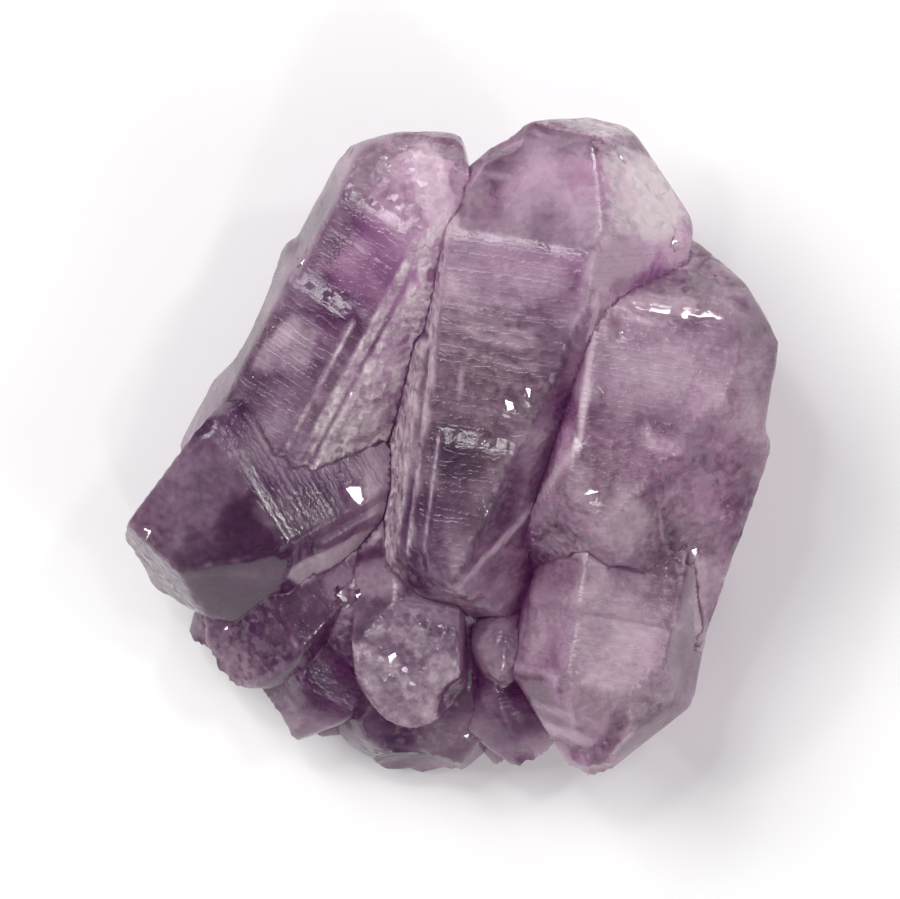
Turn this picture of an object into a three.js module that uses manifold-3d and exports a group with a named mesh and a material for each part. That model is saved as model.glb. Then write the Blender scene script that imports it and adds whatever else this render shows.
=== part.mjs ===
// Amethyst cluster: six-sided quartz crystals that fan out of one broken root, grown together as one stone.
// Units are millimetres, +Z is up and the origin is under the middle of the outline, on the flat it rests on.
import * as THREE from "three";
import { ConvexGeometry } from "three/addons/geometries/ConvexGeometry.js";
import { mergeVertices } from "three/addons/utils/BufferGeometryUtils.js";
import Module from "manifold-3d";

const wasm = await Module();
wasm.setup();

// Driving dimensions
const BACK_REACH = 5.2; // the largest crystal, from its axis to each prism face
const BACK_LENGTH = 16.3; // the largest crystal, from its foot to its shoulder
const ROOT_HALF = [9.6, 8.2, 4.0]; // the broken root the crystals grow from: half its width, depth and height
const REST_LEVEL = 0; // the stone is broken off flat here and lies on it

// Quartz: six prism faces stand 60 degrees apart, and each tip face leans in at 38.2 degrees to the long axis
const SIDES = 6;
const SIDE_TURN = 60;
const TIP_LEAN = 38.2;

const cos = (degrees) => Math.cos(THREE.MathUtils.degToRad(degrees));
const sin = (degrees) => Math.sin(THREE.MathUtils.degToRad(degrees));

// The way to a compass direction, counted from +X towards +Y, and a climb above the level, both in degrees
const heading = (azimuth, climb) =>
  new THREE.Vector3(cos(climb) * cos(azimuth), cos(climb) * sin(azimuth), sin(climb));

// A plane through a point, with its normal pointing out of the stone
const planeThrough = (point, normal) => ({ normal, distance: normal.dot(point) });

// The corners of the convex body behind the planes: where three planes meet and no other plane cuts them off
function cornersBehind(planes) {
  const slack = 1e-6;
  const corners = [];
  for (let i = 0; i < planes.length; i++)
    for (let j = i + 1; j < planes.length; j++)
      for (let k = j + 1; k < planes.length; k++) {
        const point = meetingPoint(planes[i], planes[j], planes[k]);
        const kept = point && planes.every((p) => p.normal.dot(point) <= p.distance + slack);
        if (kept) corners.push(point);
      }
  return corners;
}

function meetingPoint(a, b, c) {
  const bc = b.normal.clone().cross(c.normal);
  const spread = a.normal.dot(bc);
  if (Math.abs(spread) < 1e-6) return null;
  const ca = c.normal.clone().cross(a.normal);
  const ab = a.normal.clone().cross(b.normal);
  return bc
    .multiplyScalar(a.distance)
    .addScaledVector(ca, b.distance)
    .addScaledVector(ab, c.distance)
    .divideScalar(spread);
}

// A closed geometry as a manifold solid
function solidFrom(geometry) {
  geometry.deleteAttribute("normal");
  geometry.deleteAttribute("uv");
  const merged = mergeVertices(geometry, 1e-5);
  return new wasm.Manifold(
    new wasm.Mesh({
      numProp: 3,
      vertProperties: Float32Array.from(merged.attributes.position.array),
      triVerts: Uint32Array.from(merged.index.array),
    }),
  );
}

const convexSolid = (planes) => solidFrom(new ConvexGeometry(cornersBehind(planes)));

// A break is a flat fracture: a plane through a point of the stone that faces an azimuth and a climb
const breakPlane = ({ through, azimuth, climb }) =>
  planeThrough(new THREE.Vector3(...through), heading(azimuth, climb));

// One crystal grows from `at` along an azimuth and a climb, and roll spins it about that axis.
// reach is the distance from the axis to a prism face, and length is the shoulder, where the tip starts.
// sides scales each face's distance, and shoulders lifts or drops the foot of each tip face.
function crystal({ at, azimuth, climb, roll, reach, length, foot = 1.5, ...shape }) {
  const { sides = [], shoulders = [], breaks = [] } = shape;
  const origin = new THREE.Vector3(...at);
  const along = heading(azimuth, climb);
  const sideways = heading(azimuth + 90, 0);
  const upwards = along.clone().cross(sideways);
  const planes = [planeThrough(origin.clone().addScaledVector(along, -foot), along.clone().negate())];
  for (let k = 0; k < SIDES; k++) {
    const turn = roll + k * SIDE_TURN;
    const outward = sideways.clone().multiplyScalar(cos(turn)).addScaledVector(upwards, sin(turn));
    const shoulder = origin
      .clone()
      .addScaledVector(outward, reach * (sides[k] ?? 1))
      .addScaledVector(along, length + (shoulders[k] ?? 0));
    const leaning = outward.clone().multiplyScalar(cos(TIP_LEAN)).addScaledVector(along, sin(TIP_LEAN));
    planes.push(planeThrough(shoulder, outward), planeThrough(shoulder, leaning));
  }
  return convexSolid([...planes, ...breaks.map(breakPlane)]);
}

// A growth ledge: an older layer of the same crystal, wider by `out` on some faces and ending at `up`
function ledge(whole, { up, faces, out }) {
  const { reach, sides = [] } = whole;
  const hidden = -0.5; // the other faces of the layer stay this far under the crystal's own
  const step = (k) => (faces.includes(k) ? out : hidden);
  const wider = Array.from({ length: SIDES }, (_, k) => (sides[k] ?? 1) + step(k) / reach);
  return crystal({ ...whole, length: up, sides: wider, shoulders: [] });
}

// The crystals that show from above, from the largest at the back round to the small ones in front
const crystals = {
  back: {
    at: [2.0, -6.2, 6.0], azimuth: 83, climb: 12, roll: 17, reach: BACK_REACH, length: BACK_LENGTH,
    sides: [1, 1, 1.05, 1.1, 1, 0.94], shoulders: [0.6, 0, 0.9, 1.2, 0, -1.5],
    breaks: [
      { through: [5.2, 13.9, 11], azimuth: 80, climb: 16 },
      { through: [0, -5.9, 11.2], azimuth: -36, climb: 36 },
      { through: [0, -5.9, 11.2], azimuth: 222, climb: 34 },
      { through: [0, -6.4, 9.4], azimuth: 262, climb: 14 },
    ],
    foot: 3.5,
    ledges: [{ up: 11.2, faces: [0, 2, 3], out: 0.3 }, { up: 7.4, faces: [1, 2], out: 0.28 }],
  },
  backLeft: {
    at: [-7.9, -0.8, 5.6], azimuth: 61.5, climb: 20, roll: 14, reach: 3.4, length: 13.8,
    shoulders: [1, 0, 1.2, 0, 1, 0],
    breaks: [{ through: [-1.0, 13.5, 11.4], azimuth: 78, climb: 22 }],
    ledges: [{ up: 9.2, faces: [0, 1, 5], out: 0.3 }, { up: 12, faces: [2, 3], out: 0.24 }],
  },
  right: {
    at: [6.7, -6.5, 8.4], azimuth: 80, climb: 6, roll: 25, reach: 4.1, length: 12.6,
    sides: [1.04, 1, 1.28, 0.98, 1, 1],
    breaks: [
      { through: [9.8, 6.4, 13], azimuth: 84, climb: 34 },
      { through: [8.9, -0.5, 13.3], azimuth: -50, climb: 50 },
      { through: [5.2, -3.4, 11.6], azimuth: 236, climb: 34 },
    ],
    ledges: [{ up: 8.2, faces: [2, 3], out: 0.35 }],
  },
  backRight: {
    at: [6.6, -1.0, 6.6], azimuth: 62, climb: 10, roll: 40, reach: 2.6, length: 7.6,
    breaks: [{ through: [10.7, 7.8, 8.5], azimuth: 56, climb: 24 }],
  },
  left: {
    at: [-6.3, 0, 3.5], azimuth: 211.5, climb: 20, roll: 30, reach: 5.6, length: 5.2,
    breaks: [
      { through: [-11.2, 0, 6], azimuth: 141, climb: -6 },
      { through: [-13.2, -4.4, 7.4], azimuth: 226, climb: 14 },
      { through: [-9.4, -8.8, 4], azimuth: 250, climb: 20 },
    ],
    ledges: [{ up: 3.4, faces: [0, 5], out: 0.3 }],
  },
  frontRight: {
    at: [7.7, -2.6, 6.8], azimuth: 260, climb: 2, roll: 24, reach: 3.6, length: 7.8,
    breaks: [
      { through: [5.6, -14.3, 6.4], azimuth: 256, climb: 20 },
      { through: [10.6, -9.6, 8.6], azimuth: -42, climb: 42 },
    ],
    ledges: [{ up: 4.6, faces: [0, 1, 2], out: 0.25 }],
  },
  front: {
    at: [-1.7, -3.4, 5.4], azimuth: 268, climb: 18, roll: 8, reach: 2.5, length: 6.9,
    sides: [0.96, 1, 1.1, 0.92, 1, 1.1],
    breaks: [{ through: [-1.7, -7.6, 9.0], azimuth: 278, climb: 66 }],
  },
  frontLeft: {
    at: [-5.0, -4.2, 4.4], azimuth: 226, climb: 8, roll: 26, reach: 3.1, length: 5.0,
    breaks: [{ through: [-9.4, -7.6, 6.0], azimuth: 204, climb: 46 }],
  },
  lowFrontLeft: {
    at: [-4.4, -6.6, 3.6], azimuth: 238, climb: -2, roll: 6, reach: 2.9, length: 4.2,
    breaks: [{ through: [-7.4, -11.2, 4.6], azimuth: 214, climb: 34 }],
  },
  lowMiddle: {
    at: [-1.2, -6.8, 3.0], azimuth: 262, climb: -3, roll: 24, reach: 3.7, length: 5.2,
    sides: [1, 1, 0.9, 1, 1, 1], shoulders: [0, 0.8, 0, -0.6, 0, 0],
    breaks: [
      { through: [-2.6, -13.4, 4.0], azimuth: 246, climb: 16 },
      { through: [-0.4, -12.0, 5.2], azimuth: 276, climb: 52 },
    ],
  },
  lowRight: {
    at: [2.0, -8.2, 3.8], azimuth: 284, climb: 4, roll: 14, reach: 2.4, length: 3.4,
    breaks: [{ through: [3.6, -13.6, 4.4], azimuth: 292, climb: 24 }],
  },
  leftBud: {
    at: [-6.0, 2.2, 8.2], azimuth: 136, climb: 18, roll: 10, reach: 1.4, length: 1.7,
  },
};

// Smaller crystals low around the root and in its hollows, as [at, azimuth, climb, roll, reach, length]
const buds = [
  [[3.0, 0.0, 3.6], 95, -6, 20, 2.7, 6.2],
  [[-3.0, 1.0, 3.4], 106, -4, 8, 2.1, 4.8],
  [[1.2, 4.2, 3.2], 84, -12, 30, 1.5, 3.0],
  [[5.0, -4.0, 4.0], 8, -5, 25, 2.3, 3.6],
  [[8.4, -0.6, 4.8], 4, -14, 10, 1.6, 2.0],
  [[6.0, 2.0, 4.4], 30, -3, 0, 2.0, 3.6],
  [[7.6, -7.8, 3.6], -18, -4, 40, 1.6, 2.0],
  [[5.0, -8.0, 3.4], 290, -2, 14, 1.9, 3.0],
  [[-6.2, 1.4, 3.4], 140, -2, 5, 1.8, 1.6],
  [[-10.0, -0.6, 2.4], 142, -6, 24, 1.3, 0.6],
  [[-8.8, -7.2, 2.4], 214, -2, 33, 1.6, 1.8],
  [[-4.6, -10.6, 2.4], 228, 12, 40, 1.5, 0.9],
  [[2.4, -11.6, 2.6], 266, -6, 20, 1.6, 0.8],
  [[2.4, -7.0, 5.6], 262, 30, 8, 1.5, 2.2],
  [[3.2, -9.2, 4.6], 250, 22, 30, 0.9, 1.2],
];

// The root is a lump broken all round: planes that touch an ellipsoid, spread evenly by the golden angle,
// each set a little in or out
function brokenLump({ middle, half, breaks: count, uneven }) {
  const goldenAngle = 180 * (3 - Math.sqrt(5));
  const origin = new THREE.Vector3(...middle);
  const planes = [];
  for (let i = 0; i < count; i++) {
    const height = 1 - (2 * i + 1) / count;
    const normal = heading(i * goldenAngle, THREE.MathUtils.radToDeg(Math.asin(height)));
    const touching = Math.hypot(normal.x * half[0], normal.y * half[1], normal.z * half[2]);
    const shift = 1 + uneven * Math.sin(i * i);
    planes.push({ normal, distance: normal.dot(origin) + touching * shift });
  }
  return convexSolid(planes);
}

// A shell-shaped chip: a shallow cap of a ball whose middle lies outside the stone
function chip([at, azimuth, climb, bowl, deep]) {
  const middle = new THREE.Vector3(...at).addScaledVector(heading(azimuth, climb), bowl - deep);
  return solidFrom(new THREE.IcosahedronGeometry(bowl, 2).translate(...middle.toArray()));
}

// Chips, as [point on the surface, azimuth, climb, radius of the bowl, depth]
const chips = [
  [[-1.5, -14.0, 2.8], 262, 12, 6, 0.8],
  [[4.4, -13.0, 2.4], 285, -6, 5, 0.8],
  [[-8.6, -9.6, 1.4], 232, -10, 6, 0.8],
  [[-12.0, -2.6, 2.6], 170, -14, 6.5, 0.7],
  [[9.2, -5.4, 2.4], 2, -8, 6.5, 0.9],
  [[5.6, 4.2, 4.2], 70, -50, 7, 0.6],
  [[-9.6, 4.4, 5.6], 138, 8, 7, 0.5],
  [[12.6, 0.4, 7.4], 10, -20, 7, 0.5],
];

const join = (solids) => solids.reduce((a, b) => a.add(b));

const large = Object.values(crystals);
const ledges = large.flatMap((whole) => (whole.ledges ?? []).map((step) => ledge(whole, step)));
const small = buds.map(([at, azimuth, climb, roll, reach, length]) =>
  crystal({ at, azimuth, climb, roll, reach, length }),
);
const root = brokenLump({ middle: [-0.6, -4.6, 2.6], half: ROOT_HALF, breaks: 34, uneven: 0.05 });
const grown = join([root, ...large.map(crystal), ...ledges, ...small]);

const GROUND = 80; // a block larger than the stone, whose top is the flat break that the stone rests on
const ground = new THREE.BoxGeometry(GROUND, GROUND, GROUND).translate(0, 0, REST_LEVEL - GROUND / 2);
const stone = grown.subtract(join(chips.map(chip))).subtract(solidFrom(ground));

// The finished stone, moved so that the origin is under the middle of its outline
const mesh = stone.getMesh();
const geometry = new THREE.BufferGeometry()
  .setAttribute("position", new THREE.BufferAttribute(mesh.vertProperties, 3))
  .setIndex(new THREE.BufferAttribute(mesh.triVerts, 1));
geometry.computeBoundingBox();
const middle = geometry.boundingBox.getCenter(new THREE.Vector3());
geometry.translate(-middle.x, -middle.y, -REST_LEVEL);

const amethyst = new THREE.MeshStandardMaterial({ color: 0x8a6f88, roughness: 0.3, metalness: 0 });
const cluster = new THREE.Mesh(geometry, amethyst);
cluster.name = "amethyst_cluster";

const part = new THREE.Group();
part.add(cluster);
export default part;
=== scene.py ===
# %% [markdown]
# # An amethyst cluster
# Amethyst is purple quartz. This stone is a handful of six-sided crystals that grew out of one root and were
# later broken off the rock. It is one piece, so it becomes one mesh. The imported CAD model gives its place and
# size, and everything here is worked out around it, in millimetres first and in metres at the very end.

# %% Load the frame
import bpy
import numpy as np
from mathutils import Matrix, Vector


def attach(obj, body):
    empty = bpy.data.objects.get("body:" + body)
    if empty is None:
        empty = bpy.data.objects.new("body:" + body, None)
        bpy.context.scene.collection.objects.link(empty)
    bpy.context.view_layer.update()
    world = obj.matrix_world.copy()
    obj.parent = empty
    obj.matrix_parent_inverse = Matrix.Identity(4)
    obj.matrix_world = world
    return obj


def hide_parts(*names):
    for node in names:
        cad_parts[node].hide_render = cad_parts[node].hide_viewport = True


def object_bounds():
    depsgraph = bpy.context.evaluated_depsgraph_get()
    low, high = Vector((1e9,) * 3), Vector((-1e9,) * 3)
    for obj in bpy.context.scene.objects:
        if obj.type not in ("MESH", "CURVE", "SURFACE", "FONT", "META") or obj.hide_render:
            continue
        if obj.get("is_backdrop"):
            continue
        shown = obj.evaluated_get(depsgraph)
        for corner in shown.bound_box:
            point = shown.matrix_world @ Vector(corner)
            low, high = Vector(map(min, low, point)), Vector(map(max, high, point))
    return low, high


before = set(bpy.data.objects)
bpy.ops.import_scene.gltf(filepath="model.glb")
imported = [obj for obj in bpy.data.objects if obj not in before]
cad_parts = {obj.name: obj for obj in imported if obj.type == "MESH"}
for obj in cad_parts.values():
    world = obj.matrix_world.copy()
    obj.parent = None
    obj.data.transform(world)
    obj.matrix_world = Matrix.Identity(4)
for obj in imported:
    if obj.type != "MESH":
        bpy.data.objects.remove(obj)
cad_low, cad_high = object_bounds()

MM = 0.001
print("the stone's box in millimetres:", [round((h - l) / MM, 2) for l, h in zip(cad_low, cad_high)])

# %% [markdown]
# ## Directions
# A mineral collector describes a crystal by where it points. Two angles do that: the azimuth is counted from
# +X towards +Y, and the climb is the angle above the level. Every crystal below is written with them.

# %% Directions from two angles
def heading(azimuth, climb):
    """The unit vector that points to an azimuth and rises by a climb, both in degrees."""
    a, c = np.radians(azimuth), np.radians(climb)
    return np.array([np.cos(c) * np.cos(a), np.cos(c) * np.sin(a), np.sin(c)])


def own_axes(azimuth, climb):
    """A crystal's own sideways, upwards and long axis: sideways is level, upwards = long axis x sideways."""
    along = heading(azimuth, climb)
    sideways = heading(azimuth + 90, 0)
    return np.array([sideways, np.cross(along, sideways), along])


# %% [markdown]
# ## The crystals
# The table repeats the solid's own numbers. `reach` is the distance from the long axis to a prism face,
# `length` is where the tip starts, `sides` and `shoulders` make the six faces unequal as they are on a real
# crystal, a `break` is a flat fracture through a point, and a `ledge` is an older layer that ends partway up
# some faces. `etched` gives planes that acid water turned matt, and how matt: 1 to 6 are sides, 7 to 12 tip
# faces, 13 and up breaks. `dim` makes single planes darker: painted shade on the breaks at the back crystal's
# lower end, which lie in shadow, and a darker tone on the front crystal's etched end. `deep` is how dark the
# purple of the whole crystal is and `milk` how cloudy its bands, because crystals of one cluster differ. On the
# low front crystals and the left one, a high `deep` is also painted shade, as they lie low among the others.

# %% The table of crystals
crystals = {
    "back": dict(
        at=(2.0, -6.2, 6.0), azimuth=83, climb=12, roll=17, reach=5.2, length=16.3, foot=3.5,
        sides=(1, 1, 1.05, 1.1, 1, 0.94), shoulders=(0.6, 0, 0.9, 1.2, 0, -1.5),
        breaks=[((5.2, 13.9, 11), 80, 16), ((0, -5.9, 11.2), -36, 36), ((0, -5.9, 11.2), 222, 34),
                ((0, -6.4, 9.4), 262, 14)],
        ledges=[(11.2, (0, 2, 3), 0.3), (7.4, (1, 2), 0.28)], etched={9: 0.65, 1: 0.85, 13: 0.85},
        dim={14: 0.6, 15: 0.3, 16: 0.5}, deep=0.1),
    "back_left": dict(
        at=(-7.9, -0.8, 5.6), azimuth=61.5, climb=20, roll=14, reach=3.4, length=13.8,
        shoulders=(1, 0, 1.2, 0, 1, 0), breaks=[((-1.0, 13.5, 11.4), 78, 22)],
        ledges=[(9.2, (0, 1, 5), 0.3), (12, (2, 3), 0.24)], etched={3: 0.95, 8: 0.4, 13: 0.45}, deep=0.6),
    "right": dict(
        at=(6.7, -6.5, 8.4), azimuth=80, climb=6, roll=25, reach=4.1, length=12.6,
        sides=(1.04, 1, 1.28, 0.98, 1, 1),
        breaks=[((9.8, 6.4, 13), 84, 34), ((8.9, -0.5, 13.3), -50, 50), ((5.2, -3.4, 11.6), 236, 34)],
        ledges=[(8.2, (2, 3), 0.35)], deep=0.15),
    "back_right": dict(
        at=(6.6, -1.0, 6.6), azimuth=62, climb=10, roll=40, reach=2.6, length=7.6,
        breaks=[((10.7, 7.8, 8.5), 56, 24)], deep=0.5),
    "left": dict(
        at=(-6.3, 0, 3.5), azimuth=211.5, climb=20, roll=30, reach=5.6, length=5.2,
        breaks=[((-11.2, 0, 6), 141, -6), ((-13.2, -4.4, 7.4), 226, 14), ((-9.4, -8.8, 4), 250, 20)],
        ledges=[(3.4, (0, 5), 0.3)], deep=0.9),
    "front_right": dict(
        at=(7.7, -2.6, 6.8), azimuth=260, climb=2, roll=24, reach=3.6, length=7.8,
        breaks=[((5.6, -14.3, 6.4), 256, 20), ((10.6, -9.6, 8.6), -42, 42)],
        ledges=[(4.6, (0, 1, 2), 0.25)], milk=0.5, deep=0.0),
    "front": dict(
        at=(-1.7, -3.4, 5.4), azimuth=268, climb=18, roll=8, reach=2.5, length=6.9,
        sides=(0.96, 1, 1.1, 0.92, 1, 1.1), breaks=[((-1.7, -7.6, 9.0), 278, 66)],
        etched={13: 0.65}, dim={13: 0.2}, deep=0.9),
    "front_left": dict(
        at=(-5.0, -4.2, 4.4), azimuth=226, climb=8, roll=26, reach=3.1, length=5.0,
        breaks=[((-9.4, -7.6, 6.0), 204, 46)], deep=1.15),
    "low_front_left": dict(
        at=(-4.4, -6.6, 3.6), azimuth=238, climb=-2, roll=6, reach=2.9, length=4.2,
        breaks=[((-7.4, -11.2, 4.6), 214, 34)], deep=1.15),
    "low_middle": dict(
        at=(-1.2, -6.8, 3.0), azimuth=262, climb=-3, roll=24, reach=3.7, length=5.2,
        sides=(1, 1, 0.9, 1, 1, 1), shoulders=(0, 0.8, 0, -0.6, 0, 0),
        breaks=[((-2.6, -13.4, 4.0), 246, 16), ((-0.4, -12.0, 5.2), 276, 52)], deep=1.0),
    "low_right": dict(
        at=(2.0, -8.2, 3.8), azimuth=284, climb=4, roll=14, reach=2.4, length=3.4,
        breaks=[((3.6, -13.6, 4.4), 292, 24)], deep=1.0),
    "left_bud": dict(at=(-6.0, 2.2, 8.2), azimuth=136, climb=18, roll=10, reach=1.4, length=1.7, deep=0.0,
                     etched={1: 1.0, 2: 1.0, 3: 1.0, 7: 1.0, 8: 1.0, 9: 1.0}),
}

# small crystals low around the root: at, azimuth, climb, roll, reach, length
buds = [
    ((3.0, 0.0, 3.6), 95, -6, 20, 2.7, 6.2), ((-3.0, 1.0, 3.4), 106, -4, 8, 2.1, 4.8),
    ((1.2, 4.2, 3.2), 84, -12, 30, 1.5, 3.0), ((5.0, -4.0, 4.0), 8, -5, 25, 2.3, 3.6),
    ((8.4, -0.6, 4.8), 4, -14, 10, 1.6, 2.0), ((6.0, 2.0, 4.4), 30, -3, 0, 2.0, 3.6),
    ((7.6, -7.8, 3.6), -18, -4, 40, 1.6, 2.0), ((5.0, -8.0, 3.4), 290, -2, 14, 1.9, 3.0),
    ((-6.2, 1.4, 3.4), 140, -2, 5, 1.8, 1.6), ((-10.0, -0.6, 2.4), 142, -6, 24, 1.3, 0.6),
    ((-8.8, -7.2, 2.4), 214, -2, 33, 1.6, 1.8), ((-4.6, -10.6, 2.4), 228, 12, 40, 1.5, 0.9),
    ((2.4, -11.6, 2.6), 266, -6, 20, 1.6, 0.8), ((2.4, -7.0, 5.6), 262, 30, 8, 1.5, 2.2),
    ((3.2, -9.2, 4.6), 250, 22, 30, 0.9, 1.2),
]

# shell-shaped chips: a point on the surface, azimuth, climb, radius of the bowl, depth
chips = [
    ((-1.5, -14.0, 2.8), 262, 12, 6, 0.8), ((4.4, -13.0, 2.4), 285, -6, 5, 0.8),
    ((-8.6, -9.6, 1.4), 232, -10, 6, 0.8), ((-12.0, -2.6, 2.6), 170, -14, 6.5, 0.7),
    ((9.2, -5.4, 2.4), 2, -8, 6.5, 0.9), ((5.6, 4.2, 4.2), 70, -50, 7, 0.6),
    ((-9.6, 4.4, 5.6), 138, 8, 7, 0.5), ((12.6, 0.4, 7.4), 10, -20, 7, 0.5),
]
OUTLINE_MIDDLE = np.array([-0.147, 0.047, 0.0])  # where the origin lies in the millimetres of the table
print(len(crystals), "crystals,", len(buds), "buds,", len(chips), "chips")

# %% [markdown]
# ## Flat faces as planes
# A crystal is the space behind a set of flat faces, so a list of planes says all of its shape. Quartz always
# has the same angles: six prism faces 60 degrees apart, and six tip faces that lean in at 38.2 degrees to the
# long axis. The kind of each face is kept, because each kind has a finish of its own.

# %% From a crystal to its planes
TIP_LEAN = np.radians(38.2)
CUT, PRISM, TIP = 0, 1, 2  # the kinds of face: broken, a prism's side, and a tip


def crystal_planes(at, azimuth, climb, roll, reach, length, foot=1.5,
                   sides=(1,) * 6, shoulders=(0,) * 6, breaks=()):
    """Outward normals, distances, kinds: the foot, six sides, six tip faces on the shoulders, the breaks."""
    sideways, upwards, along = own_axes(azimuth, climb)
    turn = np.radians(roll + 60 * np.arange(6))[:, None]
    outward = np.cos(turn) * sideways + np.sin(turn) * upwards
    sides, ends = np.array(sides)[:, None], length + np.array(shoulders)[:, None]
    shoulder = np.add(at, outward * reach * sides + along * ends)
    leaning = outward * np.cos(TIP_LEAN) + along * np.sin(TIP_LEAN)
    broken = [heading(a, c) for _, a, c in breaks]
    normals = np.array([-along, *outward, *leaning, *broken, (0, 0, -1)])
    struck = [p for p, _, _ in breaks]
    points = np.array([at - foot * along, *shoulder, *shoulder, *struck, (0, 0, 0)], float)
    kinds = np.array([CUT] + [PRISM] * 6 + [TIP] * 6 + [CUT] * (len(breaks) + 1))
    return normals, (normals * points).sum(1), kinds


LOOKS = ("etched", "dim", "deep", "milk")
LEDGE_UNDER = 0.5  # millimetres a ledge hides under the faces that it doesn't stand out on


def layers_of(crystal):
    """The crystal itself, then each ledge: a shorter copy that stands out on some faces only."""
    whole = {k: v for k, v in crystal.items() if k not in ("ledges", *LOOKS)}
    yield crystal_planes(**whole)
    for up, faces, out in crystal.get("ledges", ()):
        step = np.array([out if k in faces else -LEDGE_UNDER for k in range(6)])
        wider = np.array(whole.get("sides", (1,) * 6)) + step / whole["reach"]
        yield crystal_planes(**{**whole, "sides": wider, "length": up, "shoulders": (0,) * 6})


# %% [markdown]
# ## The root
# The crystals share a root that was broken out of the rock, so it has no crystal faces at all. A lump of flat
# fractures stands for it: planes that touch an ellipsoid, spread evenly by the golden angle, as the seeds of
# a sunflower are, each moved a little in or out.

# %% The root's planes
ROOT_MIDDLE, ROOT_HALF = np.array([-0.6, -4.6, 2.6]), np.array([9.6, 8.2, 4.0])
ROOT_BREAKS, ROOT_UNEVEN = 34, 0.05


def root_planes():
    """Plane i faces azimuth i x golden angle and height 1 - (2i + 1) / count, and touches the ellipsoid."""
    i = np.arange(ROOT_BREAKS)
    climb = np.degrees(np.arcsin(1 - (2 * i + 1) / ROOT_BREAKS))
    normals = heading(i * 180 * (3 - np.sqrt(5)), climb).T
    touching = np.linalg.norm(normals * ROOT_HALF, axis=1) * (1 + ROOT_UNEVEN * np.sin(i * i))
    normals = np.vstack([normals, (0, 0, -1)])
    distances = np.append(normals[:-1] @ ROOT_MIDDLE + touching, 0)
    return normals, distances, np.full(len(distances), CUT)


# %% Planes of every body, in one list
solids = [root_planes()] + [planes for crystal in crystals.values() for planes in layers_of(crystal)]
solids += [crystal_planes(*bud) for bud in buds]
print(len(solids), "convex bodies make up the stone")

# %% [markdown]
# ## Noise
# Natural surfaces need irregular numbers that still change smoothly. Value noise does it: random numbers sit
# on the corners of a lattice, and a point takes a smooth blend of the eight around it. Bands are its one-way
# version for growth lines, with flat stretches and short risers like the treads and risers of a stair.

# %% Noise and bands
LATTICE = 32
SEEDS = 12  # tables of random numbers; higher seeds use them over again
tables = [np.random.default_rng(seed).random(LATTICE**3) for seed in range(SEEDS)]


def smooth(x, low, high):
    """0 below low, 1 above high, and 3t^2 - 2t^3 between them."""
    t = np.clip((x - low) / (high - low), 0, 1)
    return t * t * (3 - 2 * t)


def noise(p, seed):
    """Blend of the eight lattice values around each point, weighted by their smooth nearness on each axis."""
    cell = np.floor(p).astype(int)
    f = smooth(p - cell, 0, 1)
    total = 0
    for corner in np.ndindex(2, 2, 2):
        index = ((cell + corner) % LATTICE) @ (LATTICE * LATTICE, LATTICE, 1)
        total = total + tables[seed % SEEDS][index] * np.prod(np.where(corner, f, 1 - f), axis=-1)
    return total


def rough(p, seed, octaves=4):
    """Noise plus the same at twice the frequency and half the strength, and so on, scaled to 0 to 1."""
    weights = 0.5 ** np.arange(octaves)
    return sum(w * noise(p * 2**k, seed + k) for k, w in enumerate(weights)) / weights.sum()


def bands(x, seed):
    """A random level for each whole step of x, with a smooth riser over the last third of the step."""
    level = tables[seed % SEEDS][: LATTICE * LATTICE]
    k = np.floor(x).astype(int)
    low, high = level[k % len(level)], level[(k + 1) % len(level)]
    return low + (high - low) * smooth(x - k, 0.66, 1)


# %% [markdown]
# ## Worn edges
# Seen close, no edge of a handled stone is a knife edge. A sum of high powers gives that for every edge at
# once. Each face says how nearly a look from the middle of the crystal has reached it, and the p-norm of
# those shares is a maximum that turns smoothly from one face to the next. A lower power wears the edges
# rounder.

# %% A body seen from its middle
WEAR, BRUISE = 0.06, 0.2  # millimetres an edge is worn down, and how far from it the skin is bruised
ROUNDEST = 18  # the lowest power, so that a small crystal keeps its faces


def middle_of(normals, distances, start, axes, length, reach):
    """The mean of the trial points deepest behind all planes, tried along the axis and a little beside it."""
    along, aside = np.linspace(0, 1.2, 25) * length, np.linspace(-0.5, 0.5, 7) * reach
    t, s, w = np.meshgrid(along, aside, aside, indexing="ij")
    trial = start + np.stack([s, w, t], -1).reshape(-1, 3) @ axes
    depth = (distances - trial @ normals.T).min(1)
    return trial[depth > 0.9 * depth.max()].mean(0)


def first_face(look, middle, normals, distances, reach):
    """Way to the surface r = 1 / p-norm of (n.u / d), the face that stops it, and how near an edge it is."""
    # where two faces meet, the edge loses log(2) / power of the distance
    wear_power = max(ROUNDEST, np.log(2) * reach / WEAR)
    bruise_power = np.log(10) * reach / BRUISE
    share = np.maximum(look @ normals.T, 0) / (distances - normals @ middle)
    nearest = share.argmax(1)
    top = share[np.arange(len(look)), nearest]
    ratio = share / top[:, None]
    way = 1 / (top * (ratio**wear_power).sum(1) ** (1 / wear_power))
    return way, nearest, 1 - 1 / (ratio**bruise_power).sum(1)


# %% [markdown]
# ## Relief
# Each kind of face has its own marks. Prism sides carry fine lines straight across the crystal, left by its
# growth. Tip faces show faint terraces around a centre. Broken faces ripple like thick glass, and the root is
# rough all over. The marks only cut into the stone, so it never grows past the solid.

# %% Marks for each kind of face, in millimetres
LINES = ((0.035, 0.95), (0.02, 0.41))  # depth and spacing, the coarse ones and the fine ones
TERRACE_DEPTH, TERRACE_WIDTH, TERRACE_GRAIN = 0.035, 1.35, 0.01
TERRACE_CENTRE = (0.8, 1.1, 14)  # on the crystal's own axes
RIPPLE_DEPTH, RIPPLE_WIDTH, UNEVEN_DEPTH, ROOT_DEPTH, WAVE_DEPTH = 0.05, 1.25, 0.07, 0.22, 0.06


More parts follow.
